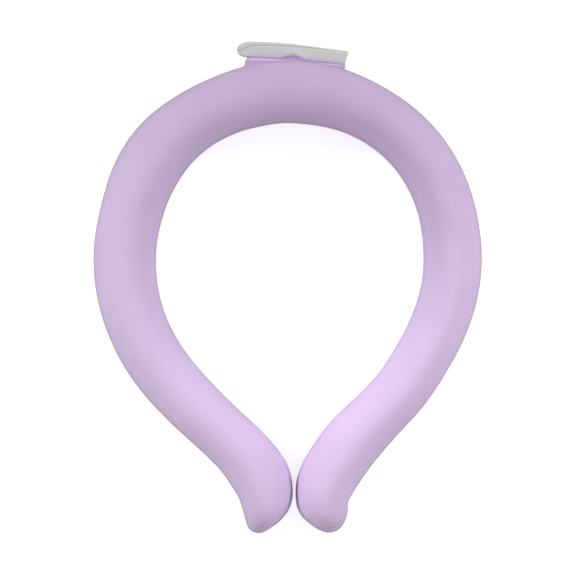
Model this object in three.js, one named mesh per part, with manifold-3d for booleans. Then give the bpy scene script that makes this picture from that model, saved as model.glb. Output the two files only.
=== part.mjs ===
// A cooling neck ring: a soft moulded tube bent round the neck, open at the front, filled with a
// coolant. At the back the skin is pinched into a flat fin with the fill channel through its middle,
// and a folded strip of film is welded over the fin to seal it.
// Millimetres. The ring lies flat: +X to its right, +Y to its back, +Z up.

import * as THREE from "three";
import { mergeVertices } from "three/addons/utils/BufferGeometryUtils.js";
import Module from "manifold-3d";

const wasm = await Module();
wasm.setup();

// The ring.
const ringWidth = 155; // over the tube, where the ring is widest
const ringDepth = 189; // from the back of the tube to the tips
const tubeWidth = 25; // the tube from side to side, where its girth is 1
const tubeHeight = 24; // the tube from its underside to its crest
const skinWall = 1;
const coolantClearance = 0.3; // between the skin and the coolant in it

// The fin at the back, two walls of the skin pressed together. Its frame has x along the fin and y
// outwards, from a point on the tube's edge.
const finOffset = 1.5; // the middle of the fin from the middle of the ring
const finTilt = -4; // degrees, its right end lying closer to the tube
const finLength = 37.5;
const finReach = 4.3; // how far the fin stands out of the tube
const finThickness = 2 * skinWall;

// The fill spout, which swells the middle of the fin round a flat channel.
const channelWidth = 4;
const channelHeight = 0.8;
const spoutWall = 0.6; // round the channel at the fin's outer edge
const spoutSwell = 2.6; // how much wider and higher the spout is where it leaves the tube

// The strip of film that is folded over the fin.
const filmThickness = 0.7;
const filmClearance = 0.3; // between the film and the fin
const stripOverhang = 1.9; // how far the strip stands out past the fin
const stripEnds = 3.1; // how far it runs on past each end of the fin
const foldDepth = 2.2; // along the strip, over which the film turns back
const liftRamp = 2.5; // beside the spout, over which the film rises to clear it

// How finely the round shapes are cut.
const tubeSides = 16;
const stepsPerRow = 2;
const spoutSides = 16;
const finArcSteps = 12;

const centreHalfWidth = (ringWidth - tubeWidth) / 2;
const backEdge = ringDepth / 2;
const backLine = backEdge - tubeWidth / 2;
const reach = ringDepth - tubeWidth / 2;
const midHeight = tubeHeight / 2;
const spoutRootWidth = channelWidth + 2 * spoutWall + spoutSwell;
const spoutRootHeight = channelHeight + 2 * spoutWall + spoutSwell;
const stripLength = finLength + 2 * stripEnds;
const stripWidth = finReach + stripOverhang;

// Sections of the tube, from beside the middle of the back to the tip. across is the centre line's
// place as a share of centreHalfWidth, along its distance from the back as a share of reach, girth
// and crown the section's width and height as shares of the tube's, and lean how many degrees the
// section turns towards the other arm.
const leftArm = [
  { across: 0.186, along: 0.008, girth: 0.992, crown: 1, lean: 0 },
  { across: 0.398, along: 0.032, girth: 0.96, crown: 1, lean: 0 },
  { across: 0.594, along: 0.07, girth: 0.975, crown: 1, lean: 0 },
  { across: 0.762, along: 0.123, girth: 1.025, crown: 1, lean: 0 },
  { across: 0.883, along: 0.191, girth: 1.035, crown: 1, lean: 0 },
  { across: 0.958, along: 0.268, girth: 0.995, crown: 1, lean: 0 },
  { across: 1.0, along: 0.348, girth: 0.995, crown: 1, lean: 0 },
  { across: 0.997, along: 0.429, girth: 0.99, crown: 1, lean: 0 },
  { across: 0.948, along: 0.509, girth: 0.97, crown: 1, lean: 0 },
  { across: 0.859, along: 0.583, girth: 0.955, crown: 1, lean: 0 },
  { across: 0.732, along: 0.65, girth: 0.94, crown: 1, lean: 0 },
  { across: 0.584, along: 0.711, girth: 0.915, crown: 1, lean: 0 },
  { across: 0.426, along: 0.768, girth: 0.888, crown: 1, lean: 0 },
  { across: 0.285, along: 0.818, girth: 0.915, crown: 1, lean: 0 },
  { across: 0.178, along: 0.868, girth: 0.97, crown: 1, lean: 0 },
  { across: 0.139, along: 0.908, girth: 0.89, crown: 1, lean: -5 },
  { across: 0.134, along: 0.937, girth: 0.795, crown: 0.96, lean: 5 },
  { across: 0.144, along: 0.961, girth: 0.655, crown: 0.84, lean: 15 },
  { across: 0.168, along: 0.981, girth: 0.46, crown: 0.62, lean: 20 },
  { across: 0.185, along: 0.995, girth: 0.3, crown: 0.36, lean: 20 },
];
const leftTip = { across: 0.19, along: 1 };

const rightArm = [
  { across: 0.26, along: 0.012, girth: 0.975, crown: 1, lean: 0 },
  { across: 0.467, along: 0.04, girth: 0.925, crown: 1, lean: 0 },
  { across: 0.655, along: 0.083, girth: 0.91, crown: 1, lean: 0 },
  { across: 0.811, along: 0.141, girth: 0.912, crown: 1, lean: 0 },
  { across: 0.924, along: 0.211, girth: 0.912, crown: 1, lean: 0 },
  { across: 0.991, along: 0.289, girth: 0.916, crown: 1, lean: 0 },
  { across: 1.015, along: 0.374, girth: 0.93, crown: 1, lean: 0 },
  { across: 0.996, along: 0.451, girth: 0.922, crown: 1, lean: 0 },
  { across: 0.93, along: 0.529, girth: 0.915, crown: 1, lean: 0 },
  { across: 0.83, along: 0.601, girth: 0.9, crown: 1, lean: 0 },
  { across: 0.702, along: 0.673, girth: 0.893, crown: 1, lean: 0 },
  { across: 0.561, along: 0.73, girth: 0.892, crown: 1, lean: 0 },
  { across: 0.409, along: 0.79, girth: 0.935, crown: 1, lean: 0 },
  { across: 0.278, along: 0.855, girth: 0.945, crown: 1, lean: 0 },
  { across: 0.226, along: 0.896, girth: 0.915, crown: 1, lean: -6 },
  { across: 0.212, along: 0.923, girth: 0.855, crown: 0.98, lean: 4 },
  { across: 0.217, along: 0.949, girth: 0.79, crown: 0.9, lean: 12 },
  { across: 0.234, along: 0.97, girth: 0.64, crown: 0.75, lean: 16 },
  { across: 0.248, along: 0.989, girth: 0.425, crown: 0.5, lean: 14 },
  { across: 0.252, along: 0.997, girth: 0.27, crown: 0.3, lean: 14 },
];
const rightTip = { across: 0.255, along: 1 };

// The strip's two edges. run goes from -1, at the cut end of the leaf under the fin, through 0, at
// the fold, to 1, at the cut end of the leaf over it. outer and inner are shares of stripWidth.
const stripEdges = [
  { run: -1, outer: 0.76, inner: -0.06 },
  { run: -0.84, outer: 0.84, inner: -0.02 },
  { run: -0.64, outer: 0.93, inner: 0.09 },
  { run: -0.54, outer: 0.97, inner: 0.27 },
  { run: -0.43, outer: 0.99, inner: 0.18 },
  { run: -0.29, outer: 0.99, inner: 0.04 },
  { run: -0.12, outer: 0.92, inner: -0.03 },
  { run: -0.05, outer: 0.8, inner: 0.0 },
  { run: 0, outer: 0.55, inner: 0.12 },
  { run: 0.05, outer: 0.37, inner: 0.02 },
  { run: 0.11, outer: 0.54, inner: -0.04 },
  { run: 0.18, outer: 0.63, inner: -0.02 },
  { run: 0.29, outer: 0.72, inner: 0.05 },
  { run: 0.43, outer: 0.81, inner: 0.19 },
  { run: 0.51, outer: 0.84, inner: 0.31 },
  { run: 0.58, outer: 0.83, inner: 0.22 },
  { run: 0.64, outer: 0.8, inner: 0.05 },
  { run: 0.75, outer: 0.74, inner: -0.03 },
  { run: 0.84, outer: 0.7, inner: -0.07 },
  { run: 1, outer: 0.6, inner: -0.11 },
];

// Draws a smooth curve through a table: returns a function from a place to each column's value.
function smoothed(places, rows, columns) {
  const values = rows.flatMap((row) => columns.map((column) => row[column]));
  const curve = new THREE.CubicInterpolant(places, values, columns.length);
  return (place) => {
    const found = curve.evaluate(place);
    return Object.fromEntries(columns.map((column, i) => [column, found[i]]));
  };
}

// The rows' places and the steps between them.
function stepped(places, steps) {
  const between = places.slice(1).flatMap((end, i) => {
    const start = places[i];
    return Array.from({ length: steps }, (_, k) => start + ((end - start) * (k + 1)) / steps);
  });
  return [places[0], ...between];
}

function pointOn({ across, along }, side) {
  return new THREE.Vector3(side * across * centreHalfWidth, backLine - along * reach, midHeight);
}

function sectionsOfArm(rows, side) {
  return rows.map((row) => ({
    x: pointOn(row, side).x,
    y: pointOn(row, side).y,
    halfWidth: (row.girth * tubeWidth) / 2,
    halfHeight: (row.crown * tubeHeight) / 2,
    turn: THREE.MathUtils.degToRad(-side * row.lean),
  }));
}

// The tube's outside as rings of points, from the left tip over the back to the right tip. A flat of
// each ring lies at its underside, and no crown rises above 1, so the tube rests on a level strip.
function tubeRings() {
  const back = { x: 0, y: backLine, halfWidth: tubeWidth / 2, halfHeight: tubeHeight / 2, turn: 0 };
  const rows = [...sectionsOfArm(leftArm, -1).reverse(), back, ...sectionsOfArm(rightArm, 1)];
  const places = [0];
  rows.slice(1).forEach((row, i) => {
    places.push(places[i] + Math.hypot(row.x - rows[i].x, row.y - rows[i].y));
  });
  const at = smoothed(places, rows, ["x", "y", "halfWidth", "halfHeight", "turn"]);
  const nudge = 0.01;
  const cornerShare = 1 / Math.cos(Math.PI / tubeSides);
  return stepped(places, stepsPerRow).map((place) => {
    const section = at(place);
    const halfHeight = Math.min(section.halfHeight, midHeight);
    const before = at(Math.max(place - nudge, 0));
    const after = at(Math.min(place + nudge, places.at(-1)));
    const heading = Math.atan2(after.y - before.y, after.x - before.x) + section.turn;
    const outward = new THREE.Vector3(-Math.sin(heading), Math.cos(heading), 0);
    return Array.from({ length: tubeSides }, (_, k) => {
      const angle = ((k + 0.5) / tubeSides) * 2 * Math.PI;
      const out = section.halfWidth * cornerShare * Math.cos(angle);
      const up = halfHeight * cornerShare * Math.sin(angle);
      return new THREE.Vector3(section.x, section.y, midHeight + up).addScaledVector(outward, out);
    });
  });
}

// Skins a row of rings, each with as many points, and closes both ends onto a point.
function loft(rings, startPoint, endPoint) {
  const sides = rings[0].length;
  const points = [startPoint, ...rings.flat(), endPoint];
  const last = points.length - 1;
  const corner = (ring, k) => 1 + ring * sides + (k % sides);
  const faces = [];
  for (let k = 0; k < sides; k++) {
    faces.push(0, corner(0, k + 1), corner(0, k));
    for (let ring = 0; ring < rings.length - 1; ring++) {
      faces.push(corner(ring, k), corner(ring, k + 1), corner(ring + 1, k));
      faces.push(corner(ring, k + 1), corner(ring + 1, k + 1), corner(ring + 1, k));
    }
    faces.push(last, corner(rings.length - 1, k), corner(rings.length - 1, k + 1));
  }
  const geometry = new THREE.BufferGeometry().setFromPoints(points);
  geometry.setIndex(faces);
  geometry.computeVertexNormals();
  return geometry;
}

// The same closed surface, moved inwards.
function inset(geometry, depth) {
  const moved = geometry.clone();
  const place = moved.getAttribute("position");
  const normal = geometry.getAttribute("normal");
  for (let i = 0; i < place.count; i++) {
    place.setXYZ(
      i,
      place.getX(i) - depth * normal.getX(i),
      place.getY(i) - depth * normal.getY(i),
      place.getZ(i) - depth * normal.getZ(i),
    );
  }
  return moved;
}

function toSolid(geometry) {
  const bare = geometry.clone();
  bare.deleteAttribute("normal");
  bare.deleteAttribute("uv");
  const merged = mergeVertices(bare);
  return new wasm.Manifold(
    new wasm.Mesh({
      numProp: 3,
      vertProperties: new Float32Array(merged.getAttribute("position").array),
      triVerts: new Uint32Array(merged.index.array),
    }),
  );
}

function toGeometry(solid) {
  const mesh = solid.getMesh();
  const geometry = new THREE.BufferGeometry();
  geometry.setAttribute("position", new THREE.BufferAttribute(mesh.vertProperties, 3));
  geometry.setIndex(new THREE.BufferAttribute(mesh.triVerts, 1));
  geometry.computeVertexNormals();
  return geometry;
}

// Puts a shape that was drawn in the fin's frame in its place on the ring.
function onFin(geometry) {
  return geometry
    .rotateZ(THREE.MathUtils.degToRad(finTilt))
    .translate(finOffset, backEdge, midHeight);
}

// The fin seen from above: its ends spread towards the tube, and its outer edge is a shallow arc.
// Its root runs on to the tube's centre line.
function finGeometry() {
  const half = finLength / 2;
  const root = tubeWidth / 2;
  const leftSpread = 0.035 * finLength;
  const rightSpread = 0.02 * finLength;
  const taper = 0.015 * finLength;
  const endReach = 0.62 * finReach;
  const outline = new THREE.Shape();
  outline.moveTo(-half - leftSpread, -root);
  outline.lineTo(half + rightSpread, -root);
  outline.lineTo(half, 0);
  outline.lineTo(half - taper, endReach);
  outline.quadraticCurveTo(0, 2 * finReach - endReach, taper - half, endReach);
  outline.lineTo(-half, 0);
  outline.closePath();
  const slab = new THREE.ExtrudeGeometry(outline, {
    depth: finThickness,
    bevelEnabled: false,
    curveSegments: finArcSteps,
  });
  return onFin(slab.translate(0, 0, -finThickness / 2));
}

// An oval rod along the fin's y axis, between two sections with their place, width and height.
function rodAlongFin(start, end) {
  const rings = [start, end].map(({ y, width, height }) =>
    Array.from({ length: spoutSides }, (_, k) => {
      const angle = (k / spoutSides) * 2 * Math.PI;
      return new THREE.Vector3((width / 2) * Math.sin(angle), y, (height / 2) * Math.cos(angle));
    }),
  );
  return onFin(loft(rings, new THREE.Vector3(0, start.y, 0), new THREE.Vector3(0, end.y, 0)));
}

// The film's height off its level at its inner edge, where it rises to clear the spout.
function filmLift(x) {
  const share = Math.min(Math.abs(x) / (spoutRootWidth / 2 + liftRamp), 1);
  const rise = (spoutRootHeight - finThickness) / 2;
  return rise * Math.cos((share * Math.PI) / 2) ** 2;
}

// The strip as rings of four corners, from the lower leaf round the fold to the upper leaf. Round the
// fold the film's middle follows a quarter of an oval on each side, and its faces turn with it.
function stripRings() {
  const runs = stripEdges.map((row) => row.run);
  const at = smoothed(runs, stripEdges, ["outer", "inner"]);
  const level = finThickness / 2 + filmClearance + filmThickness / 2;
  return stepped(runs, stepsPerRow).map((run) => {
    const { outer, inner } = at(run);
    const side = run < 0 ? -1 : 1;
    const fromFold = Math.abs(run) * stripLength;
    const x = fromFold - stripLength / 2;
    const endOn = Math.max(1 - fromFold / foldDepth, 0);
    const faceOn = Math.sqrt(1 - endOn ** 2);
    const height = side * level * faceOn;
    const lift = side * faceOn * filmLift(x);
    const corner = (y, z, face) => {
      const out = (face * filmThickness) / 2;
      return new THREE.Vector3(x - out * endOn, y, z + out * side * faceOn);
    };
    return [
      corner(inner * stripWidth, height + lift, -1),
      corner(outer * stripWidth, height, -1),
      corner(outer * stripWidth, height, 1),
      corner(inner * stripWidth, height + lift, 1),
    ];
  });
}

function middleOf(ring) {
  const sum = new THREE.Vector3();
  ring.forEach((point) => sum.add(point));
  return sum.divideScalar(ring.length);
}

function stripGeometry() {
  const rings = stripRings();
  return onFin(loft(rings, middleOf(rings[0]), middleOf(rings.at(-1))));
}

const tube = loft(tubeRings(), pointOn(leftTip, -1), pointOn(rightTip, 1));
const hollow = inset(tube, skinWall);
const coolant = inset(tube, skinWall + coolantClearance);

const spout = rodAlongFin(
  { y: -skinWall, width: spoutRootWidth, height: spoutRootHeight },
  { y: finReach, width: channelWidth + 2 * spoutWall, height: channelHeight + 2 * spoutWall },
);
const channel = rodAlongFin(
  { y: -tubeWidth / 2, width: channelWidth, height: channelHeight },
  { y: 2 * finReach, width: channelWidth, height: channelHeight },
);

const skin = toSolid(tube)
  .add(toSolid(finGeometry()))
  .add(toSolid(spout))
  .subtract(toSolid(hollow))
  .subtract(toSolid(channel));

const skinMaterial = new THREE.MeshStandardMaterial({
  color: 0xccb9d9,
  roughness: 0.55,
  metalness: 0,
});
const coolantMaterial = new THREE.MeshStandardMaterial({
  color: 0xeef2f4,
  roughness: 0.4,
  metalness: 0,
});
const filmMaterial = new THREE.MeshStandardMaterial({
  color: 0xc6c7c5,
  roughness: 0.4,
  metalness: 0,
});

function piece(name, geometry, material) {
  const mesh = new THREE.Mesh(geometry, material);
  mesh.name = name;
  return mesh;
}

const ring = new THREE.Group();
ring.add(piece("ring_skin", toGeometry(skin), skinMaterial));
ring.add(piece("coolant_fill", coolant, coolantMaterial));
ring.add(piece("seal_strip", stripGeometry(), filmMaterial));

// The origin is the middle of the footprint, at the surface the ring lies on.
const footprint = new THREE.Box3().setFromObject(ring);
const middle = footprint.getCenter(new THREE.Vector3());
ring.position.set(-middle.x, -middle.y, -footprint.min.z);

export default ring;
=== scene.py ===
"""A cooling neck ring: its moulded skin, the coolant in it and the film strip that seals its fin."""

import math
from collections import namedtuple

import bmesh
import bpy
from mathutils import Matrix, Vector


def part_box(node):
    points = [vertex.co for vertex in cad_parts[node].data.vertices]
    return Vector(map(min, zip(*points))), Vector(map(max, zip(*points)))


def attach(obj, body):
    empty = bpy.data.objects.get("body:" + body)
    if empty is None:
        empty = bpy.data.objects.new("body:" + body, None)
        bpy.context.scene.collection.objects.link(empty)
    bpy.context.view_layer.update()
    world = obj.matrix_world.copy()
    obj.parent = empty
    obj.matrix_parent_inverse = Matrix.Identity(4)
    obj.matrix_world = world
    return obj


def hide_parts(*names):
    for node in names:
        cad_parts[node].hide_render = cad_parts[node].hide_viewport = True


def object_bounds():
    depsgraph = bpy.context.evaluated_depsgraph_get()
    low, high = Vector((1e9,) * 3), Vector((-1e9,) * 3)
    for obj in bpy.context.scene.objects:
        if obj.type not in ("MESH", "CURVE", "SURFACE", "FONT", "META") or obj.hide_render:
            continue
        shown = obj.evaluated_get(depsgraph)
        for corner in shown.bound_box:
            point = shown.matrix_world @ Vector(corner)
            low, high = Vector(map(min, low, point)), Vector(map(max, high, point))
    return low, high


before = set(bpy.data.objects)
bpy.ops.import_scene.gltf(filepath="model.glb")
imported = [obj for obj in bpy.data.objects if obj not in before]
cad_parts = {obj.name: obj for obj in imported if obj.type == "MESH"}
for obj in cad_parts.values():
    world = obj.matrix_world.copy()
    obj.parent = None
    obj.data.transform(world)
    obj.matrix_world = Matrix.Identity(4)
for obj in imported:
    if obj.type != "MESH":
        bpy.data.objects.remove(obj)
cad_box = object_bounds()
skin_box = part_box("ring_skin")

bl_info = {
    "name": "Cooling Neck Ring",
    "version": (1, 0, 0),
    "blender": (4, 5, 0),
    "location": "View3D > Sidebar > Neck Ring",
    "description": "Models a soft cooling neck ring and a plain stage for it",
    "category": "Add Mesh",
}

MM = 0.001
BODY = "root"
TOUCH = 0.01 * MM  # places nearer to each other than this are the same
TURN_SIGN = -1  # of an anticlockwise turn, where there is no window

# Sections of the tube from beside the middle of the back to the tip. across is the centre line's place
# as a share of its widest, along its distance from the back as a share of the reach, girth and crown
# the width and height as shares of the tube's, and lean the turn towards the other arm in degrees.
Section = namedtuple("Section", "across along girth crown lean")

LEFT_ARM = [
    Section(0.186, 0.008, 0.992, 1, 0),
    Section(0.398, 0.032, 0.96, 1, 0),
    Section(0.594, 0.07, 0.975, 1, 0),
    Section(0.762, 0.123, 1.025, 1, 0),
    Section(0.883, 0.191, 1.035, 1, 0),
    Section(0.958, 0.268, 0.995, 1, 0),
    Section(1.0, 0.348, 0.995, 1, 0),
    Section(0.997, 0.429, 0.99, 1, 0),
    Section(0.948, 0.509, 0.97, 1, 0),
    Section(0.859, 0.583, 0.955, 1, 0),
    Section(0.732, 0.65, 0.94, 1, 0),
    Section(0.579, 0.711, 0.915, 1, 0),
    Section(0.416, 0.768, 0.89, 1, 0),
    Section(0.275, 0.818, 0.91, 1, 0),
    Section(0.176, 0.8675, 0.95, 1, 0),
    Section(0.137, 0.908, 0.88, 1, -2),
    Section(0.134, 0.937, 0.79, 0.96, 5),
    Section(0.149, 0.961, 0.63, 0.84, 14),
    Section(0.174, 0.981, 0.43, 0.62, 19),
    Section(0.192, 0.993, 0.28, 0.38, 14),
    Section(0.197, 0.9985, 0.14, 0.17, 4),
]

RIGHT_ARM = [
    Section(0.26, 0.012, 0.975, 1, 0),
    Section(0.467, 0.04, 0.925, 1, 0),
    Section(0.655, 0.083, 0.91, 1, 0),
    Section(0.811, 0.141, 0.912, 1, 0),
    Section(0.924, 0.211, 0.912, 1, 0),
    Section(0.991, 0.289, 0.916, 1, 0),
    Section(1.015, 0.374, 0.93, 1, 0),
    Section(0.996, 0.451, 0.922, 1, 0),
    Section(0.93, 0.529, 0.915, 1, 0),
    Section(0.83, 0.601, 0.9, 1, 0),
    Section(0.702, 0.673, 0.893, 1, 0),
    Section(0.561, 0.73, 0.892, 1, 0),
    Section(0.405, 0.79, 0.95, 1, 0),
    Section(0.278, 0.855, 0.945, 1, 0),
    Section(0.226, 0.896, 0.915, 1, -6),
    Section(0.209, 0.923, 0.84, 0.98, 4),
    Section(0.217, 0.949, 0.79, 0.9, 12),
    Section(0.234, 0.97, 0.64, 0.75, 16),
    Section(0.248, 0.987, 0.44, 0.52, 14),
    Section(0.252, 0.9945, 0.27, 0.32, 14),
    Section(0.255, 0.9985, 0.13, 0.16, 14),
]

# How the tube is made.
NEAR_FIN = 0.62  # from the fin's middle to where its close sections end, as a share of its length
NEAR_TIPS = 0.4  # from the ring's middle to where the tips' close sections start, of its depth
END_SEARCH = 1.2  # how far round an end's middle its points are looked for, in half widths
PARTING_RIDGE = 0.1 * MM
COOLANT_INSET = 1.3  # the coolant's distance inside the skin's outside, in walls

# Steps by which the fin is drawn out of the tube: its reach as a share of the fin's, how far it goes to
# the left and to the right as shares of half its length, its thickness as a share of the fin's, and the
# height of the spout in it as a share of the spout's height at its fullest.
FinStep = namedtuple("FinStep", "reach left right thickness spout")

FIN_STEPS = [
    FinStep(-0.36, 1.04, 1.01, 1.75, 0.85),
    FinStep(-0.22, 1.005, 1.0, 1.35, 0.8),
    FinStep(-0.08, 0.99, 1.0, 1.15, 0.75),
    FinStep(0.05, 0.985, 0.99, 0.95, 0.75),
    FinStep(0.25, 0.98, 0.97, 0.95, 0.85),
    FinStep(0.5, 0.97, 0.95, 0.95, 1.0),
    FinStep(0.8, 0.94, 0.92, 0.95, 0.75),
    FinStep(1.0, 0.88, 0.86, 0.8, 0.45),
]

# The band of faces that the fin comes out of, and the spout's fall on both sides of its middle.
BAND_HALF_HEIGHT = 0.02  # to its faces' middles at most, as a share of the tube's height
BAND_FACING = 0.5  # how squarely its faces look backwards at least, of 1
SPOUT_FOOT = 1.2  # from foot to foot, as a share of the spout's width
SPOUT_FALL = 1.5  # higher is steeper

# The film round the fin. run goes from 0, at its closed end, to 1, at its cut end. outer is its outer
# edge, groove the seam pressed beside that edge, and inner its open edge by the tube, as shares of its
# width. full is its height there as a share of its height over the fin.
FilmStation = namedtuple("FilmStation", "run outer groove inner full")

FILM_STATIONS = [
    FilmStation(0.0, 0.5, 0.42, 0.3, 0.0),
    FilmStation(0.008, 0.62, 0.37, 0.19, 0.42),
    FilmStation(0.025, 0.74, 0.33, 0.09, 0.75),
    FilmStation(0.05, 0.85, 0.37, 0.02, 0.95),
    FilmStation(0.085, 0.93, 0.55, -0.01, 1),
    FilmStation(0.13, 0.96, 0.71, 0.0, 1),
    FilmStation(0.2, 0.98, 0.77, 0.02, 1),
    FilmStation(0.35, 1.0, 0.81, 0.03, 1),
    FilmStation(0.42, 0.995, 0.82, 0.04, 1),
    FilmStation(0.47, 0.99, 0.825, 0.15, 1),
    FilmStation(0.515, 0.983, 0.83, 0.22, 1),
    FilmStation(0.56, 0.965, 0.825, 0.16, 1),
    FilmStation(0.61, 0.945, 0.82, 0.04, 1),
    FilmStation(0.66, 0.925, 0.81, 0.02, 1),
    FilmStation(0.76, 0.875, 0.785, 0.01, 1),
    FilmStation(0.9, 0.81, 0.75, -0.04, 1),
    FilmStation(1.0, 0.76, 0.715, -0.08, 1),
]

# The film's make: its gap to the fin, the seam pressed into its upper half, the bead along its outer
# edge, the hump over the spout, its cut and closed ends, and how many steps its grid has.
FILM_GAP = 0.08 * MM
SEAM_DEPTH = 0.55 * MM
SEAM_HALF_WIDTH = 0.5 * MM
BEAD_RISE = 0.12 * MM
BEAD_SHARE = 0.42  # of each half turn round the fin lies in the bead, beyond the seam
BEAD_POWER = 0.8  # lower makes the bead fuller
HUMP_HEIGHT = 1.5 * MM
HUMP_HALF_LENGTH = 5.4 * MM
HUMP_PLACE = 0.6 * MM  # from the film's middle
HUMP_AT_EDGE = 0.45  # its height at the film's inner edge, as a share
HUMP_SLOPE = 0.9 * MM  # from that edge to its crest
HUMP_LOSS = 0.8  # of its height, from its crest to the film's outer edge
HUMP_LOSS_RUN = 0.65  # how far that takes, as a share of the film's width
FILM_SLANT = 1.5 * MM  # lean of the cut end
CLOSED_END_DRAW = 1.5  # how soon the halves meet at the closed end, going inwards from the seam
CLOSER_AT_END = 1.3  # draws the film's steps together towards its closed end
FILM_STEPS_ALONG = 120
FILM_STEPS_ROUND = 44

# Where the colour changes over a piece, with painted light on the fin and painted shade towards the
# skin's outline.
# The fin's painted light lifts the shade under the film's edge and beside the tube.
FIN_PAINTED_LIGHT = 0.3  # how much lighter the fin is
# Painted shade towards the skin's outline, by how far it turns away from the viewer.
EDGE_SHADE_START = 0.6  # how far the skin is turned away, of 1, where it starts to darken
EDGE_SHADE_BRIGHTNESS = 0.75  # what is left of its colour where it is seen edge on
OPEN_EDGE_SHARE = 0.15  # of the film's way round, along each open edge, shows the skin
OPEN_EDGE_TINT = 0.55  # how much of the skin's colour shows at that edge

# Soft lights: the place at mid-height that each is aimed at, where it stands as seen from there in
# degrees round from +X and up from the level, how far off and how wide it is in metres, how far its
# beam spreads in degrees, and its strength in watts.
Lamp = namedtuple("Lamp", "name aim_x aim_y azimuth elevation distance size spread watts")

LAMPS = [
    Lamp("side_softbox", 0, 0, 0, 15, 1.2, 0.8, 180, 0.75),
    Lamp("back_light", 0, 0.08, 90, 25, 0.95, 0.16, 14, 0.008),
    Lamp("left_side_light", -0.065, 0.02, 30, 30, 0.95, 0.16, 14, 0.015),
    Lamp("right_arm_light", 0.035, -0.05, 150, 30, 0.95, 0.16, 14, 0.052),
    Lamp("right_arm_fill", 0.035, -0.05, 30, 30, 0.95, 0.16, 14, 0.033),
    Lamp("tips_light", 0, -0.095, 270, 25, 0.95, 0.16, 6, 0.004),
]
SKY_STRENGTH = 0.5
FLOOR_GLOW = 0.65
FLOOR_SIZE = 6  # metres
FLOOR_CELLS = 8

# The picture: its width in pixels, what a pixel spans at the ring's mid-height, and the camera's lens.
PICTURE_WIDTH = 576
MM_PER_PIXEL = 0.4
LENS_MM = 135
SENSOR_MM = 36
CLIP_START = 0.01
CLIP_END = 20

TubeSection = namedtuple("TubeSection", "x y half_width half_height heading")


class NeckRingSizes(bpy.types.PropertyGroup):
    ring_width: bpy.props.FloatProperty(
        name="Ring width",
        description="Over the tube, where the ring is widest",
        default=0.155,
        unit="LENGTH",
    )
    ring_depth: bpy.props.FloatProperty(
        name="Ring depth",
        description="From the back of the tube to the tips",
        default=0.189,
        unit="LENGTH",
    )
    tube_width: bpy.props.FloatProperty(
        name="Tube width",
        description="From side to side of the tube at the middle of the back",
        default=0.025,
        unit="LENGTH",
    )
    tube_height: bpy.props.FloatProperty(
        name="Tube height",
        description="From the underside of the tube to its crest",
        default=skin_box[1].z - skin_box[0].z,
        unit="LENGTH",
    )
    skin_wall: bpy.props.FloatProperty(
        name="Skin wall",
        description="Thickness of the moulded skin",
        default=0.001,
        unit="LENGTH",
    )
    fin_offset: bpy.props.FloatProperty(
        name="Fin offset",
        description="Middle of the fin from the middle of the ring",
        default=0.0034,
        unit="LENGTH",
    )
    fin_tilt: bpy.props.FloatProperty(
        name="Fin tilt",
        description="Turn of the fin seen from above",
        default=math.radians(-4),
        subtype="ANGLE",
    )
    fin_length: bpy.props.FloatProperty(
        name="Fin length",
        description="Along the fin",
        default=0.0395,
        unit="LENGTH",
    )
    fin_reach: bpy.props.FloatProperty(
        name="Fin reach",
        description="How far the fin stands out of the tube",
        default=0.0043,
        unit="LENGTH",
    )
    spout_width: bpy.props.FloatProperty(
        name="Spout width",
        description="Width of the swelling round the fill channel",
        default=0.0078,
        unit="LENGTH",
    )
    spout_height: bpy.props.FloatProperty(
        name="Spout height",
        description="Height of the swelling round the fill channel",
        default=0.0036,
        unit="LENGTH",
    )
    film_length: bpy.props.FloatProperty(
        name="Film length",
        description="Along the film, from its closed end to its cut end",
        default=0.044,
        unit="LENGTH",
    )
    film_width: bpy.props.FloatProperty(
        name="Film width",
        description="From the tube's edge to the film's outer edge",
        default=0.0063,
        unit="LENGTH",
    )
    film_offset: bpy.props.FloatProperty(
        name="Film offset",
        description="Middle of the film from the middle of the ring",
        default=0.00165,
        unit="LENGTH",
    )
    film_thickness: bpy.props.FloatProperty(
        name="Film thickness",
        description="Thickness of the sealing film",
        default=0.0005,
        unit="LENGTH",
    )


class NeckRingColours(bpy.types.PropertyGroup):
    skin: bpy.props.FloatVectorProperty(
        name="Skin",
        description="Lavender of the moulded skin",
        default=(0.667, 0.526, 0.765),
        subtype="COLOR",
    )
    film: bpy.props.FloatVectorProperty(
        name="Film",
        description="Grey of the frosted film",
        default=(0.8, 0.805, 0.795),
        subtype="COLOR",
    )
    coolant: bpy.props.FloatVectorProperty(
        name="Coolant",
        description="White of the set coolant",
        default=(0.85, 0.88, 0.9),
        subtype="COLOR",
    )
    floor: bpy.props.FloatVectorProperty(
        name="Floor",
        description="Pale floor of the stage",
        default=(0.75, 0.75, 0.75),
        subtype="COLOR",
    )


def sizes():
    return bpy.context.scene.neck_ring_sizes


def colours():
    return bpy.context.scene.neck_ring_colours


# Shaping helpers


def smooth_value(places, values, place):
    """The value at a place on a smooth curve through the values at the given places."""
    last = len(places) - 1
    span = max(i for i in range(last) if i == 0 or places[i] <= place)
    length = places[span + 1] - places[span]
    share = (place - places[span]) / length

    def slope(i):
        before, after = max(i - 1, 0), min(i + 1, last)
        return (values[after] - values[before]) / (places[after] - places[before])

    square, cube = share**2, share**3
    return (
        (2 * cube - 3 * square + 1) * values[span]
        + (cube - 2 * square + share) * length * slope(span)
        + (3 * square - 2 * cube) * values[span + 1]
        + (cube - square) * length * slope(span + 1)
    )


def ease(share):
    """Rises smoothly from 0 to 1 as share does."""
    share = min(max(share, 0), 1)
    return share * share * (3 - 2 * share)


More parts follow.
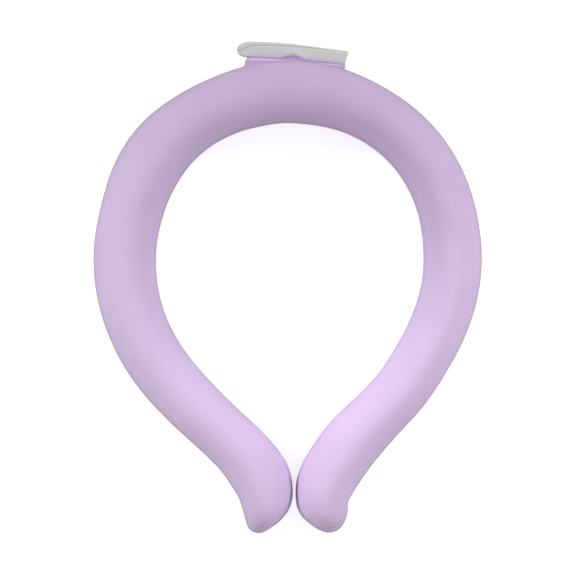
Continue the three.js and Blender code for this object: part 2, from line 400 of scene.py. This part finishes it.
def rows_of_arm(arm, side):
    """An arm's sections in metres, from the back to the tip, each with its lean as its heading. side
    is -1 for the left arm and 1 for the right one."""
    s = sizes()
    half_centre = (s.ring_width - s.tube_width) / 2
    reach = s.ring_depth - s.tube_width / 2
    back_line = (s.ring_depth - s.tube_width) / 2
    return [
        TubeSection(
            side * row.across * half_centre,
            back_line - row.along * reach,
            row.girth * s.tube_width / 2,
            row.crown * s.tube_height / 2,
            math.radians(-side * row.lean),
        )
        for row in arm
    ]


def distances_along(rows):
    """How far along the line through the rows each of them lies."""
    places = [0.0]
    for one, other in zip(rows, rows[1:]):
        places.append(places[-1] + math.hypot(other.x - one.x, other.y - one.y))
    return places


def section_places(rows, places, spacing, fine_spacing):
    """Where the tube gets its sections, closer together beside the fin and at the tips."""
    s = sizes()
    steps = [0.0]
    for i, (one, other) in enumerate(zip(rows, rows[1:])):
        at_back = max(one.y, other.y) > 0
        near_fin = at_back and min(abs(one.x), abs(other.x)) < s.fin_length * NEAR_FIN
        near_tip = min(one.y, other.y) < -s.ring_depth * NEAR_TIPS
        length = places[i + 1] - places[i]
        step_length = fine_spacing if near_fin or near_tip else spacing
        count = max(round(length / step_length), 1)
        steps += [places[i] + length * (k + 1) / count for k in range(count)]
    return steps


def tube_sections(spacing, fine_spacing, inset):
    """The tube's sections from the left tip over the back to the right tip, drawn in by the inset."""
    s = sizes()
    back_line = (s.ring_depth - s.tube_width) / 2
    back = TubeSection(0, back_line, s.tube_width / 2, s.tube_height / 2, 0)
    rows = [*reversed(rows_of_arm(LEFT_ARM, -1)), back, *rows_of_arm(RIGHT_ARM, 1)]
    places = distances_along(rows)
    columns = TubeSection(*zip(*rows))
    sections = []
    for place in section_places(rows, places, spacing, fine_spacing):
        x, y, half_width, half_height, lean = (
            smooth_value(places, column, place) for column in columns
        )
        before, after = max(place - TOUCH, 0), min(place + TOUCH, places[-1])
        run_x, run_y = (
            smooth_value(places, column, after) - smooth_value(places, column, before)
            for column in (columns.x, columns.y)
        )
        sections.append(
            TubeSection(
                x,
                y,
                max(half_width - inset, inset),
                max(min(half_height, s.tube_height / 2) - inset, inset),
                math.atan2(run_y, run_x) + lean,
            )
        )
    # What lies inside the skin ends where there is still room for it in the tips.
    return [section for section in sections if section.half_width > 2 * inset]


def ring_offset():
    """From the ring's own middle to its place in the frame."""
    s = sizes()
    rows = [*rows_of_arm(LEFT_ARM, -1), *rows_of_arm(RIGHT_ARM, 1)]
    left = min(row.x - row.half_width for row in rows)
    right = max(row.x + row.half_width for row in rows)
    middle = (skin_box[0].x + skin_box[1].x) / 2
    return Vector((middle - (left + right) / 2, skin_box[0].y + s.ring_depth / 2, 0))


def middle_height():
    """The height of the tube's middle in the frame."""
    return (skin_box[0].z + skin_box[1].z) / 2


def fin_point(along, outward, up):
    """A point given in the fin's frame, in the frame's own coordinates."""
    s = sizes()
    corner = Vector((s.fin_offset, s.ring_depth / 2, middle_height()))
    turned = Vector(
        (
            along * math.cos(s.fin_tilt) - outward * math.sin(s.fin_tilt),
            along * math.sin(s.fin_tilt) + outward * math.cos(s.fin_tilt),
            up,
        )
    )
    return ring_offset() + corner + turned


def fin_outwards():
    """The way out of the tube along the fin, as a direction in the frame."""
    return fin_point(0, 1, 0) - fin_point(0, 0, 0)


def in_fin_frame(point):
    """A point of the frame as its place along the fin, outwards and up."""
    s = sizes()
    from_corner = point - fin_point(0, 0, 0)
    return Vector(
        (
            from_corner.x * math.cos(s.fin_tilt) + from_corner.y * math.sin(s.fin_tilt),
            -from_corner.x * math.sin(s.fin_tilt) + from_corner.y * math.cos(s.fin_tilt),
            from_corner.z,
        )
    )


def edit_mesh():
    """The mesh that is being edited."""
    return bmesh.from_edit_mesh(bpy.context.edit_object.data)


def select_verts(test):
    """Selects the vertices whose place passes the test, and nothing else, in edit mode."""
    bpy.ops.mesh.select_mode(type="VERT")
    bpy.ops.mesh.select_all(action="DESELECT")
    mesh = edit_mesh()
    for vert in mesh.verts:
        vert.select = test(vert)
    mesh.select_flush(True)
    bmesh.update_edit_mesh(bpy.context.edit_object.data)


def select_faces(test):
    """Selects the faces that pass the test, and nothing else, in edit mode."""
    bpy.ops.mesh.select_mode(type="FACE")
    bpy.ops.mesh.select_all(action="DESELECT")
    mesh = edit_mesh()
    for face in mesh.faces:
        face.select_set(test(face))
    bmesh.update_edit_mesh(bpy.context.edit_object.data)


def turn_about_z(angle, centre):
    """Turns the selection anticlockwise seen from above."""
    bpy.ops.transform.rotate(value=TURN_SIGN * angle, orient_axis="Z", center_override=centre)


def start_object():
    """Deselects everything, so that what follows acts on the new object alone."""
    bpy.ops.object.select_all(action="DESELECT")


def name_piece(name):
    """Names the object that was just added, and its mesh."""
    piece = bpy.context.object
    piece.name = name
    piece.data.name = name
    return piece


def apply_modifier(piece, kind, name, **settings):
    """Adds a modifier with its settings to the active piece and applies it."""
    modifier = piece.modifiers.new(name, kind)
    for key, value in settings.items():
        setattr(modifier, key, value)
    bpy.ops.object.modifier_apply(modifier=modifier.name)


def finish_piece(piece, node, material):
    """Gives a piece its material and lets it stand in for its solid."""
    piece.data.materials.clear()
    piece.data.materials.append(material)
    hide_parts(node)
    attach(piece, BODY)


# Tube and fin


def model_tube(name, sides, spacing, fine_spacing, inset):
    """Extrudes a ring of points through the tube's sections and closes its ends. Left in edit mode."""
    sections = tube_sections(spacing, fine_spacing, inset)
    shift = ring_offset() + Vector((0, 0, middle_height()))
    first = sections[0]
    centre = shift + Vector((first.x, first.y, 0))
    # A rounded surface lies inside its corners by this share.
    swell = 3 / (2 + math.cos(2 * math.pi / sides))
    start_object()
    bpy.ops.mesh.primitive_circle_add(
        vertices=sides,
        radius=first.half_width * swell,
        location=centre,
        rotation=(math.pi / 2, math.pi / sides, first.heading + math.pi / 2),
    )
    piece = name_piece(name)
    bpy.ops.object.transform_apply(location=True, rotation=True, scale=True)
    bpy.ops.object.mode_set(mode="EDIT")
    bpy.ops.mesh.select_all(action="SELECT")
    bpy.ops.transform.resize(
        value=(1, 1, first.half_height / first.half_width), center_override=centre
    )
    for before, section in zip(sections, sections[1:]):
        centre = shift + Vector((section.x, section.y, 0))
        step = (section.x - before.x, section.y - before.y, 0)
        bpy.ops.mesh.extrude_region_move(TRANSFORM_OT_translate={"value": step})
        turn_about_z(section.heading - before.heading, centre)
        wider = section.half_width / before.half_width
        higher = section.half_height / before.half_height
        bpy.ops.transform.resize(value=(wider, wider, higher), center_override=centre)
    for end in (sections[0], sections[-1]):
        tip = shift + Vector((end.x, end.y, 0))
        near = max(end.half_width, end.half_height) * END_SEARCH
        select_verts(lambda vert: vert.is_boundary and (vert.co - tip).length < near)
        bpy.ops.mesh.fill_grid(span=sides // 4)
    bpy.ops.mesh.select_all(action="SELECT")
    bpy.ops.mesh.normals_make_consistent(inside=False)
    return piece


def in_fin_band(face):
    """Whether a face lies in the band at mid-height behind the back that the fin comes out of."""
    s = sizes()
    place = in_fin_frame(face.calc_center_median())
    at_middle = abs(place.z) < s.tube_height * BAND_HALF_HEIGHT
    at_back = abs(place.x) < s.fin_length / 2 and abs(place.y) < s.tube_width / 2
    return at_middle and at_back and face.normal.y > BAND_FACING


def spout_swelling(along):
    """How full the spout is at a place along the fin, from 0 beside it to 1 at its middle."""
    s = sizes()
    from_spout = along + s.fin_offset - s.film_offset - HUMP_PLACE
    return max(1 - (2 * from_spout / (SPOUT_FOOT * s.spout_width)) ** 2, 0) ** SPOUT_FALL


def draw_out_fin():
    """Extrudes the fin from its band step by step, and sets the ends and heights of each step."""
    s = sizes()
    half = s.fin_length / 2
    select_faces(in_fin_band)
    for step in FIN_STEPS:
        bpy.ops.mesh.extrude_region_move(TRANSFORM_OT_translate={"value": fin_outwards() * MM})
        front = [vert for vert in edit_mesh().verts if vert.select]
        places = [in_fin_frame(vert.co) for vert in front]
        left, right = min(place.x for place in places), max(place.x for place in places)
        reach = step.reach * s.fin_reach
        flat = step.thickness * s.skin_wall
        full = max(step.spout * s.spout_height / 2, flat)
        for vert, place in zip(front, places):
            share = (place.x - left) / (right - left)
            along = half * (share * step.right - (1 - share) * step.left)
            half_height = flat + (full - flat) * spout_swelling(along)
            vert.co = fin_point(along, reach, math.copysign(half_height, place.z))
        bmesh.update_edit_mesh(bpy.context.edit_object.data)


def raise_parting_line():
    """Lifts the line where the mould's halves met, all round the skin at mid-height."""
    level = middle_height()
    select_verts(lambda vert: abs(vert.co.z - level) < TOUCH)
    bpy.ops.transform.shrink_fatten(value=PARTING_RIDGE)


# Film strip


def film_station(run):
    """The film's station at a place along it, with its edges and its seam in metres."""
    columns = FilmStation(*zip(*FILM_STATIONS))
    outer, groove, inner, full = (smooth_value(columns.run, column, run) for column in columns[1:])
    width = sizes().film_width
    return FilmStation(run, outer * width, groove * width, inner * width, full)


def hump_over_spout(from_middle, outward, inner):
    """How far the film is lifted where it passes over the spout."""
    from_edge = outward - inner
    rise = HUMP_AT_EDGE + (1 - HUMP_AT_EDGE) * ease(from_edge / HUMP_SLOPE)
    fall = 1 - HUMP_LOSS * ease((from_edge - HUMP_SLOPE) / (HUMP_LOSS_RUN * sizes().film_width))
    lengthwise = ease(1 - abs(from_middle - HUMP_PLACE) / HUMP_HALF_LENGTH)
    return HUMP_HEIGHT * lengthwise * rise * fall


def film_point(run, turn):
    """Where a point of the film lies. run goes along it from the closed end to the cut end, and turn
    round the fin, from -1 at the lower inner edge over 0 at the outer edge to 1 at the upper one."""
    s = sizes()
    station = film_station(run)
    groove = station.groove
    level = s.skin_wall + FILM_GAP + s.film_thickness / 2
    from_middle = (run - 0.5) * s.film_length
    half_turn = abs(turn)
    if half_turn > BEAD_SHARE:
        share = (half_turn - BEAD_SHARE) / (1 - BEAD_SHARE)
        outward = groove + (station.inner - groove) * share
        height = level + hump_over_spout(from_middle, outward, station.inner)
        closed = 1 - min(station.full, 1)
        height *= 1 - closed * ease(share * CLOSED_END_DRAW)
    else:
        angle = half_turn / BEAD_SHARE * math.pi / 2
        outward = groove + (station.outer - groove) * math.cos(angle)
        height = (level + BEAD_RISE * math.sin(2 * angle)) * math.sin(angle) ** BEAD_POWER
    if turn > 0:
        beside = min(abs(outward - groove) / SEAM_HALF_WIDTH, 1)
        pressed = math.cos(beside * math.pi / 2) ** 2 * min(half_turn / BEAD_SHARE, 1)
        height -= SEAM_DEPTH * pressed
    slant = FILM_SLANT * run * (outward / s.film_width - 0.5)
    along = from_middle + slant + s.film_offset - s.fin_offset
    up = height * station.full
    return fin_point(along, outward, up if turn > 0 else -up)


def model_film(name):
    """Folds a grid round the fin, closes its end and gives it the film's thickness."""
    start_object()
    bpy.ops.mesh.primitive_grid_add(
        x_subdivisions=FILM_STEPS_ALONG, y_subdivisions=FILM_STEPS_ROUND, size=2
    )
    piece = name_piece(name)
    for vert in piece.data.vertices:
        run = ((vert.co.x + 1) / 2) ** CLOSER_AT_END
        vert.co = film_point(run, vert.co.y)
    bpy.ops.object.mode_set(mode="EDIT")
    bpy.ops.mesh.select_all(action="SELECT")
    bpy.ops.mesh.remove_doubles(threshold=TOUCH)
    bpy.ops.mesh.normals_make_consistent(inside=False)
    bpy.ops.object.mode_set(mode="OBJECT")
    thickness = sizes().film_thickness
    apply_modifier(piece, "SOLIDIFY", "film", thickness=thickness, offset=0, use_rim=True)
    apply_modifier(piece, "SUBSURF", "rounding", levels=1, render_levels=1)
    return piece


# Shared effects


def add_node(tree, kind, sockets=None, **settings):
    """A shader node with its settings. sockets gives each input a value or the output it reads."""
    node = tree.nodes.new(kind)
    for key, value in settings.items():
        setattr(node, key, value)
    for socket, value in (sockets or {}).items():
        if isinstance(value, bpy.types.NodeSocket):
            tree.links.new(value, node.inputs[socket])
        else:
            node.inputs[socket].default_value = value
    return node


def new_group(name, inputs, outputs):
    """An empty shader node group with named sockets, given as (name, kind, default)."""
    group = bpy.data.node_groups.new(name, "ShaderNodeTree")
    for label, kind, default in inputs:
        socket = group.interface.new_socket(label, in_out="INPUT", socket_type=kind)
        if default is not None:
            socket.default_value = default
    for label, kind in outputs:
        group.interface.new_socket(label, in_out="OUTPUT", socket_type=kind)
    return group


def mottle_group():
    """A soft cloudy variation of a colour, as in a moulded or waxy mass."""
    name = "Soft Mottle"
    if name in bpy.data.node_groups:
        return bpy.data.node_groups[name]
    group = new_group(
        name,
        [
            ("Vector", "NodeSocketVector", None),
            ("Colour", "NodeSocketColor", (0.5, 0.5, 0.5, 1)),
            ("Scale", "NodeSocketFloat", 60),
            ("Strength", "NodeSocketFloat", 0.05),
        ],
        [("Colour", "NodeSocketColor")],
    )
    given = add_node(group, "NodeGroupInput").outputs
    noise = add_node(
        group,
        "ShaderNodeTexNoise",
        {"Vector": given["Vector"], "Scale": given["Scale"], "Detail": 3, "Roughness": 0.5},
    )
    centred = add_node(
        group, "ShaderNodeMath", {0: noise.outputs["Fac"], 1: 0.5}, operation="SUBTRACT"
    )
    factor = add_node(
        group,
        "ShaderNodeMath",
        {0: centred.outputs[0], 1: given["Strength"], 2: 1},
        operation="MULTIPLY_ADD",
    )
    tinted = add_node(
        group,
        "ShaderNodeVectorMath",
        {0: given["Colour"], "Scale": factor.outputs[0]},
        operation="SCALE",
    )
    add_node(group, "NodeGroupOutput", {"Colour": tinted.outputs[0]})
    return group


def grain_group():
    """The fine grain of a matte moulded surface, as a height over slow waves."""
    name = "Moulded Grain"
    if name in bpy.data.node_groups:
        return bpy.data.node_groups[name]
    group = new_group(
        name,
        [
            ("Vector", "NodeSocketVector", None),
            ("Grain Scale", "NodeSocketFloat", 2500),
            ("Wave Scale", "NodeSocketFloat", 90),
            ("Wave Share", "NodeSocketFloat", 0.7),
        ],
        [("Height", "NodeSocketFloat")],
    )
    given = add_node(group, "NodeGroupInput").outputs
    grain = add_node(
        group,
        "ShaderNodeTexNoise",
        {"Vector": given["Vector"], "Scale": given["Grain Scale"], "Detail": 2},
    )
    waves = add_node(
        group,
        "ShaderNodeTexNoise",
        {"Vector": given["Vector"], "Scale": given["Wave Scale"], "Detail": 1},
    )
    mixed = add_node(
        group,
        "ShaderNodeMix",
        {"Factor": given["Wave Share"], "A": grain.outputs["Fac"], "B": waves.outputs["Fac"]},
    )
    add_node(group, "NodeGroupOutput", {"Height": mixed.outputs["Result"]})
    return group


def fin_mask_group():
    """A mask of the fin: 1 from where it leaves the tube outwards, within a height of its middle."""
    name = "Fin Mask"
    if name in bpy.data.node_groups:
        return bpy.data.node_groups[name]
    group = new_group(
        name,
        [
            ("Vector", "NodeSocketVector", None),
            ("Middle", "NodeSocketVector", (0, 0, 0)),
            ("Outwards", "NodeSocketVector", (0, 1, 0)),
            ("Root", "NodeSocketFloat", -0.001),
            ("Half Height", "NodeSocketFloat", 0.002),
            ("Softness", "NodeSocketFloat", 0.001),
        ],
        [("Mask", "NodeSocketFloat")],
    )
    given = add_node(group, "NodeGroupInput").outputs
    from_middle = add_node(
        group,
        "ShaderNodeVectorMath",
        {0: given["Vector"], 1: given["Middle"]},
        operation="SUBTRACT",
    ).outputs["Vector"]
    outward = add_node(
        group,
        "ShaderNodeVectorMath",
        {0: from_middle, 1: given["Outwards"]},
        operation="DOT_PRODUCT",
    )
    past_root = add_node(
        group,
        "ShaderNodeMath",
        {0: outward.outputs["Value"], 1: given["Root"]},
        operation="SUBTRACT",
    )
    parts = add_node(group, "ShaderNodeSeparateXYZ", {0: from_middle})
    height = add_node(group, "ShaderNodeMath", {0: parts.outputs["Z"]}, operation="ABSOLUTE")
    below_top = add_node(
        group,
        "ShaderNodeMath",
        {0: given["Half Height"], 1: height.outputs[0]},
        operation="SUBTRACT",
    )
    outside_root, inside_height = (
        add_node(
            group,
            "ShaderNodeMapRange",
            {"Value": inside.outputs[0], "From Max": given["Softness"]},
            interpolation_type="SMOOTHSTEP",
        ).outputs["Result"]
        for inside in (past_root, below_top)
    )
    both = add_node(
        group, "ShaderNodeMath", {0: outside_root, 1: inside_height}, operation="MULTIPLY"
    )
    add_node(group, "NodeGroupOutput", {"Mask": both.outputs[0]})
    return group


# Materials


def start_material(name, roughness, ior):
    """A new material, as its node tree, itself and its shader."""
    material = bpy.data.materials.new(name)
    material.use_nodes = True
    shader = material.node_tree.nodes["Principled BSDF"]
    shader.inputs["Roughness"].default_value = roughness
    shader.inputs["IOR"].default_value = ior
    return material.node_tree, material, shader


def add_mottle_and_grain(tree, shader, colour, mottle, grain, bump_distance):
    """Gives a material its cloudy colour and its grain, read from the piece's own coordinates."""
    place = add_node(tree, "ShaderNodeTexCoord").outputs["Object"]
    cloudy = add_node(
        tree,
        "ShaderNodeGroup",
        {"Vector": place, "Colour": (*colour, 1), **mottle},
        node_tree=mottle_group(),
    )
    rough = add_node(tree, "ShaderNodeGroup", {"Vector": place, **grain}, node_tree=grain_group())
    bump = add_node(
        tree, "ShaderNodeBump", {"Height": rough.outputs["Height"], "Distance": bump_distance}
    )
    tree.links.new(cloudy.outputs["Colour"], shader.inputs["Base Color"])
    tree.links.new(bump.outputs["Normal"], shader.inputs["Normal"])


def scale_colour(tree, shader, factor):
    """Multiplies the colour that a shader has so far by a factor that changes over the surface."""
    colour = shader.inputs["Base Color"].links[0].from_socket
    scaled = add_node(tree, "ShaderNodeVectorMath", {0: colour, "Scale": factor}, operation="SCALE")
    tree.links.new(scaled.outputs[0], shader.inputs["Base Color"])


def paint_fin_light(tree, shader):
    """Paints light on the fin, where the skin is thin and has no coolant behind it: its colour is
    raised to lift the shade under the film's edge and beside the tube.
    """
    mask = add_node(
        tree,
        "ShaderNodeGroup",
        {
            "Vector": add_node(tree, "ShaderNodeTexCoord").outputs["Object"],
            "Middle": fin_point(0, 0, 0),
            "Outwards": fin_outwards(),
            "Root": -1.5 * MM,
            "Half Height": 2.5 * MM,
            "Softness": 0.8 * MM,
        },
        node_tree=fin_mask_group(),
    )
    lighter = add_node(
        tree,
        "ShaderNodeMath",
        {0: mask.outputs["Mask"], 1: FIN_PAINTED_LIGHT, 2: 1},
        operation="MULTIPLY_ADD",
    )
    scale_colour(tree, shader, lighter.outputs[0])


def paint_edge_shade(tree, shader):
    """Paints shade into the skin's colour, a little darker where it turns away from the viewer, towards
    its outline.
    """
    turned_away = add_node(tree, "ShaderNodeLayerWeight").outputs["Facing"]
    edge_shade = add_node(
        tree,
        "ShaderNodeMapRange",
        {"Value": turned_away, "From Min": EDGE_SHADE_START, "To Min": 1, "To Max": EDGE_SHADE_BRIGHTNESS},
    )
    scale_colour(tree, shader, edge_shade.outputs["Result"])


def show_skin_through(tree, shader):
    """Tints the film with the skin's colour towards its open edges, where it lies close on the tube."""
    cloudy = shader.inputs["Base Color"].links[0].from_socket
    place = add_node(tree, "ShaderNodeTexCoord").outputs["UV"]
    round_fin = add_node(tree, "ShaderNodeSeparateXYZ", {0: place}).outputs["Y"]
    from_edge = add_node(tree, "ShaderNodeMath", {0: round_fin, 1: 0.5}, operation="PINGPONG")
    fade = add_node(
        tree,
        "ShaderNodeMapRange",
        {
            "Value": from_edge.outputs[0],
            "From Max": OPEN_EDGE_SHARE,
            "To Min": OPEN_EDGE_TINT,
            "To Max": 0,
        },
        interpolation_type="SMOOTHSTEP",
    )
    tinted = add_node(
        tree,
        "ShaderNodeMixRGB",
        {"Fac": fade.outputs["Result"], "Color1": cloudy, "Color2": (*colours().skin, 1)},
    )
    tree.links.new(tinted.outputs[0], shader.inputs["Base Color"])


def skin_material():
    tree, material, shader = start_material("matte_lavender_skin", roughness=0.75, ior=1.45)
    shader.inputs["Specular IOR Level"].default_value = 0.12
    add_mottle_and_grain(
        tree,
        shader,
        colours().skin,
        {"Scale": 70, "Strength": 0.11},
        {"Grain Scale": 2600, "Wave Scale": 80, "Wave Share": 0.75},
        bump_distance=0.08 * MM,
    )
    # Painted light on the fin, lifting the shade under the film's edge and beside the tube.
    paint_fin_light(tree, shader)
    # Painted shade towards the skin's outline, where it turns away from the viewer.
    paint_edge_shade(tree, shader)
    return material


def film_material():
    tree, material, shader = start_material("frosted_grey_film", roughness=0.4, ior=1.45)
    add_mottle_and_grain(
        tree,
        shader,
        colours().film,
        {"Scale": 160, "Strength": 0.08},
        {"Grain Scale": 3200, "Wave Scale": 260, "Wave Share": 0.8},
        bump_distance=0.1 * MM,
    )
    show_skin_through(tree, shader)
    return material


def coolant_material():
    tree, material, shader = start_material("waxy_white_coolant", roughness=0.35, ior=1.43)
    shader.inputs["Subsurface Weight"].default_value = 0.2
    shader.inputs["Subsurface Scale"].default_value = 4 * MM
    add_mottle_and_grain(
        tree,
        shader,
        colours().coolant,
        {"Scale": 140, "Strength": 0.1},
        {"Grain Scale": 900, "Wave Scale": 150, "Wave Share": 0.5},
        bump_distance=0.15 * MM,
    )
    return material


def floor_material():
    """A matte floor whose own glow shows to the camera alone, so that it lights nothing."""
    tree, material, shader = start_material("pale_floor", roughness=0.8, ior=1.4)
    add_mottle_and_grain(
        tree,
        shader,
        colours().floor,
        {"Scale": 3, "Strength": 0.01},
        {"Grain Scale": 900, "Wave Scale": 20, "Wave Share": 0.3},
        bump_distance=0.02 * MM,
    )
    shader.inputs["Emission Color"].default_value = (1, 1, 1, 1)
    seen = add_node(tree, "ShaderNodeLightPath").outputs["Is Camera Ray"]
    glow = add_node(tree, "ShaderNodeMath", {0: seen, 1: FLOOR_GLOW}, operation="MULTIPLY")
    tree.links.new(glow.outputs[0], shader.inputs["Emission Strength"])
    return material


# Stage


def lay_floor():
    start_object()
    bpy.ops.mesh.primitive_grid_add(
        x_subdivisions=FLOOR_CELLS,
        y_subdivisions=FLOOR_CELLS,
        size=FLOOR_SIZE,
        location=(0, 0, cad_box[0].z),
    )
    floor = name_piece("pale_floor")
    bpy.ops.object.transform_apply(location=True, rotation=True, scale=True)
    floor.data.materials.append(floor_material())


def hang_lamp(lamp):
    """Hangs a lamp at its distance from the place it is aimed at."""
    aim = Vector((lamp.aim_x, lamp.aim_y, middle_height()))
    azimuth, elevation = math.radians(lamp.azimuth), math.radians(lamp.elevation)
    towards = Vector(
        (
            math.cos(azimuth) * math.cos(elevation),
            math.sin(azimuth) * math.cos(elevation),
            math.sin(elevation),
        )
    )
    bpy.ops.object.light_add(type="AREA", location=aim + towards * lamp.distance)
    light = bpy.context.object
    light.name = lamp.name
    light.data.shape = "DISK"
    light.data.size = lamp.size
    light.data.spread = math.radians(lamp.spread)
    light.data.energy = lamp.watts
    light.rotation_euler = towards.to_track_quat("Z", "Y").to_euler()


def light_stage():
    """Sets an even white sky and hangs the lamps."""
    world = bpy.data.worlds.new("soft_studio")
    world.use_nodes = True
    background = world.node_tree.nodes["Background"]
    background.inputs["Color"].default_value = (1, 1, 1, 1)
    background.inputs["Strength"].default_value = SKY_STRENGTH
    bpy.context.scene.world = world
    bpy.context.scene.view_settings.view_transform = "Standard"
    for lamp in LAMPS:
        hang_lamp(lamp)


def place_camera():
    """Places the camera straight above the ring, looking down."""
    bpy.ops.object.camera_add()
    camera = bpy.context.object
    camera.name = "photo_camera"
    camera.data.lens = LENS_MM
    camera.data.sensor_width = SENSOR_MM
    camera.data.dof.use_dof = False
    camera.data.clip_start = CLIP_START
    camera.data.clip_end = CLIP_END
    seen = PICTURE_WIDTH * MM_PER_PIXEL * MM
    distance = seen * LENS_MM / SENSOR_MM
    centre = (cad_box[0] + cad_box[1]) / 2
    camera.location = (centre.x, centre.y, middle_height() + distance)
    camera.rotation_euler = (0, 0, 0)
    bpy.context.scene.camera = camera


# Operators


class NECKRING_OT_skin(bpy.types.Operator):
    """Model the moulded skin of the ring with its fin"""

    bl_idname = "neckring.skin"
    bl_label = "Moulded Skin"

    def execute(self, context):
        piece = model_tube(
            "lavender_skin", sides=32, spacing=5 * MM, fine_spacing=2.2 * MM, inset=0
        )
        draw_out_fin()
        bpy.ops.object.mode_set(mode="OBJECT")
        apply_modifier(piece, "SUBSURF", "rounding", levels=2, render_levels=2)
        bpy.ops.object.mode_set(mode="EDIT")
        raise_parting_line()
        bpy.ops.object.mode_set(mode="OBJECT")
        bpy.ops.object.shade_smooth()
        finish_piece(piece, "ring_skin", skin_material())
        return {"FINISHED"}


class NECKRING_OT_coolant(bpy.types.Operator):
    """Model the coolant that fills the skin"""

    bl_idname = "neckring.coolant"
    bl_label = "Coolant Fill"

    def execute(self, context):
        inset = sizes().skin_wall * COOLANT_INSET
        piece = model_tube(
            "waxy_coolant", sides=24, spacing=7 * MM, fine_spacing=7 * MM, inset=inset
        )
        bpy.ops.object.mode_set(mode="OBJECT")
        apply_modifier(piece, "SUBSURF", "rounding", levels=1, render_levels=1)
        bpy.ops.object.shade_smooth()
        finish_piece(piece, "coolant_fill", coolant_material())
        return {"FINISHED"}


class NECKRING_OT_strip(bpy.types.Operator):
    """Model the folded strip of film that seals the fin"""

    bl_idname = "neckring.strip"
    bl_label = "Seal Strip"

    def execute(self, context):
        piece = model_film("grey_seal_strip")
        bpy.ops.object.shade_smooth()
        finish_piece(piece, "seal_strip", film_material())
        return {"FINISHED"}


class NECKRING_OT_stage(bpy.types.Operator):
    """Lay the floor, set the lights and place the camera over the ring"""

    bl_idname = "neckring.stage"
    bl_label = "Stage"

    def execute(self, context):
        lay_floor()
        light_stage()
        place_camera()
        return {"FINISHED"}


class NECKRING_PT_panel(bpy.types.Panel):
    """Sizes, colours and the steps that model the ring"""

    bl_idname = "NECKRING_PT_panel"
    bl_label = "Cooling Neck Ring"
    bl_space_type = "VIEW_3D"
    bl_region_type = "UI"
    bl_category = "Neck Ring"

    def draw(self, context):
        for group in (sizes(), colours()):
            box = self.layout.box()
            for key in group.bl_rna.properties.keys():
                if key not in ("rna_type", "name"):
                    box.prop(group, key)
        for step in STEPS:
            self.layout.operator(step.bl_idname)


STEPS = (NECKRING_OT_skin, NECKRING_OT_coolant, NECKRING_OT_strip, NECKRING_OT_stage)
CLASSES = (NeckRingSizes, NeckRingColours, *STEPS, NECKRING_PT_panel)


def register():
    for cls in CLASSES:
        bpy.utils.register_class(cls)
    bpy.types.Scene.neck_ring_sizes = bpy.props.PointerProperty(type=NeckRingSizes)
    bpy.types.Scene.neck_ring_colours = bpy.props.PointerProperty(type=NeckRingColours)


def unregister():
    del bpy.types.Scene.neck_ring_colours
    del bpy.types.Scene.neck_ring_sizes
    for cls in reversed(CLASSES):
        bpy.utils.unregister_class(cls)


def main():
    register()
    bpy.ops.neckring.skin()
    bpy.ops.neckring.coolant()
    bpy.ops.neckring.strip()
    bpy.ops.neckring.stage()


if __name__ == "__main__":
    main()
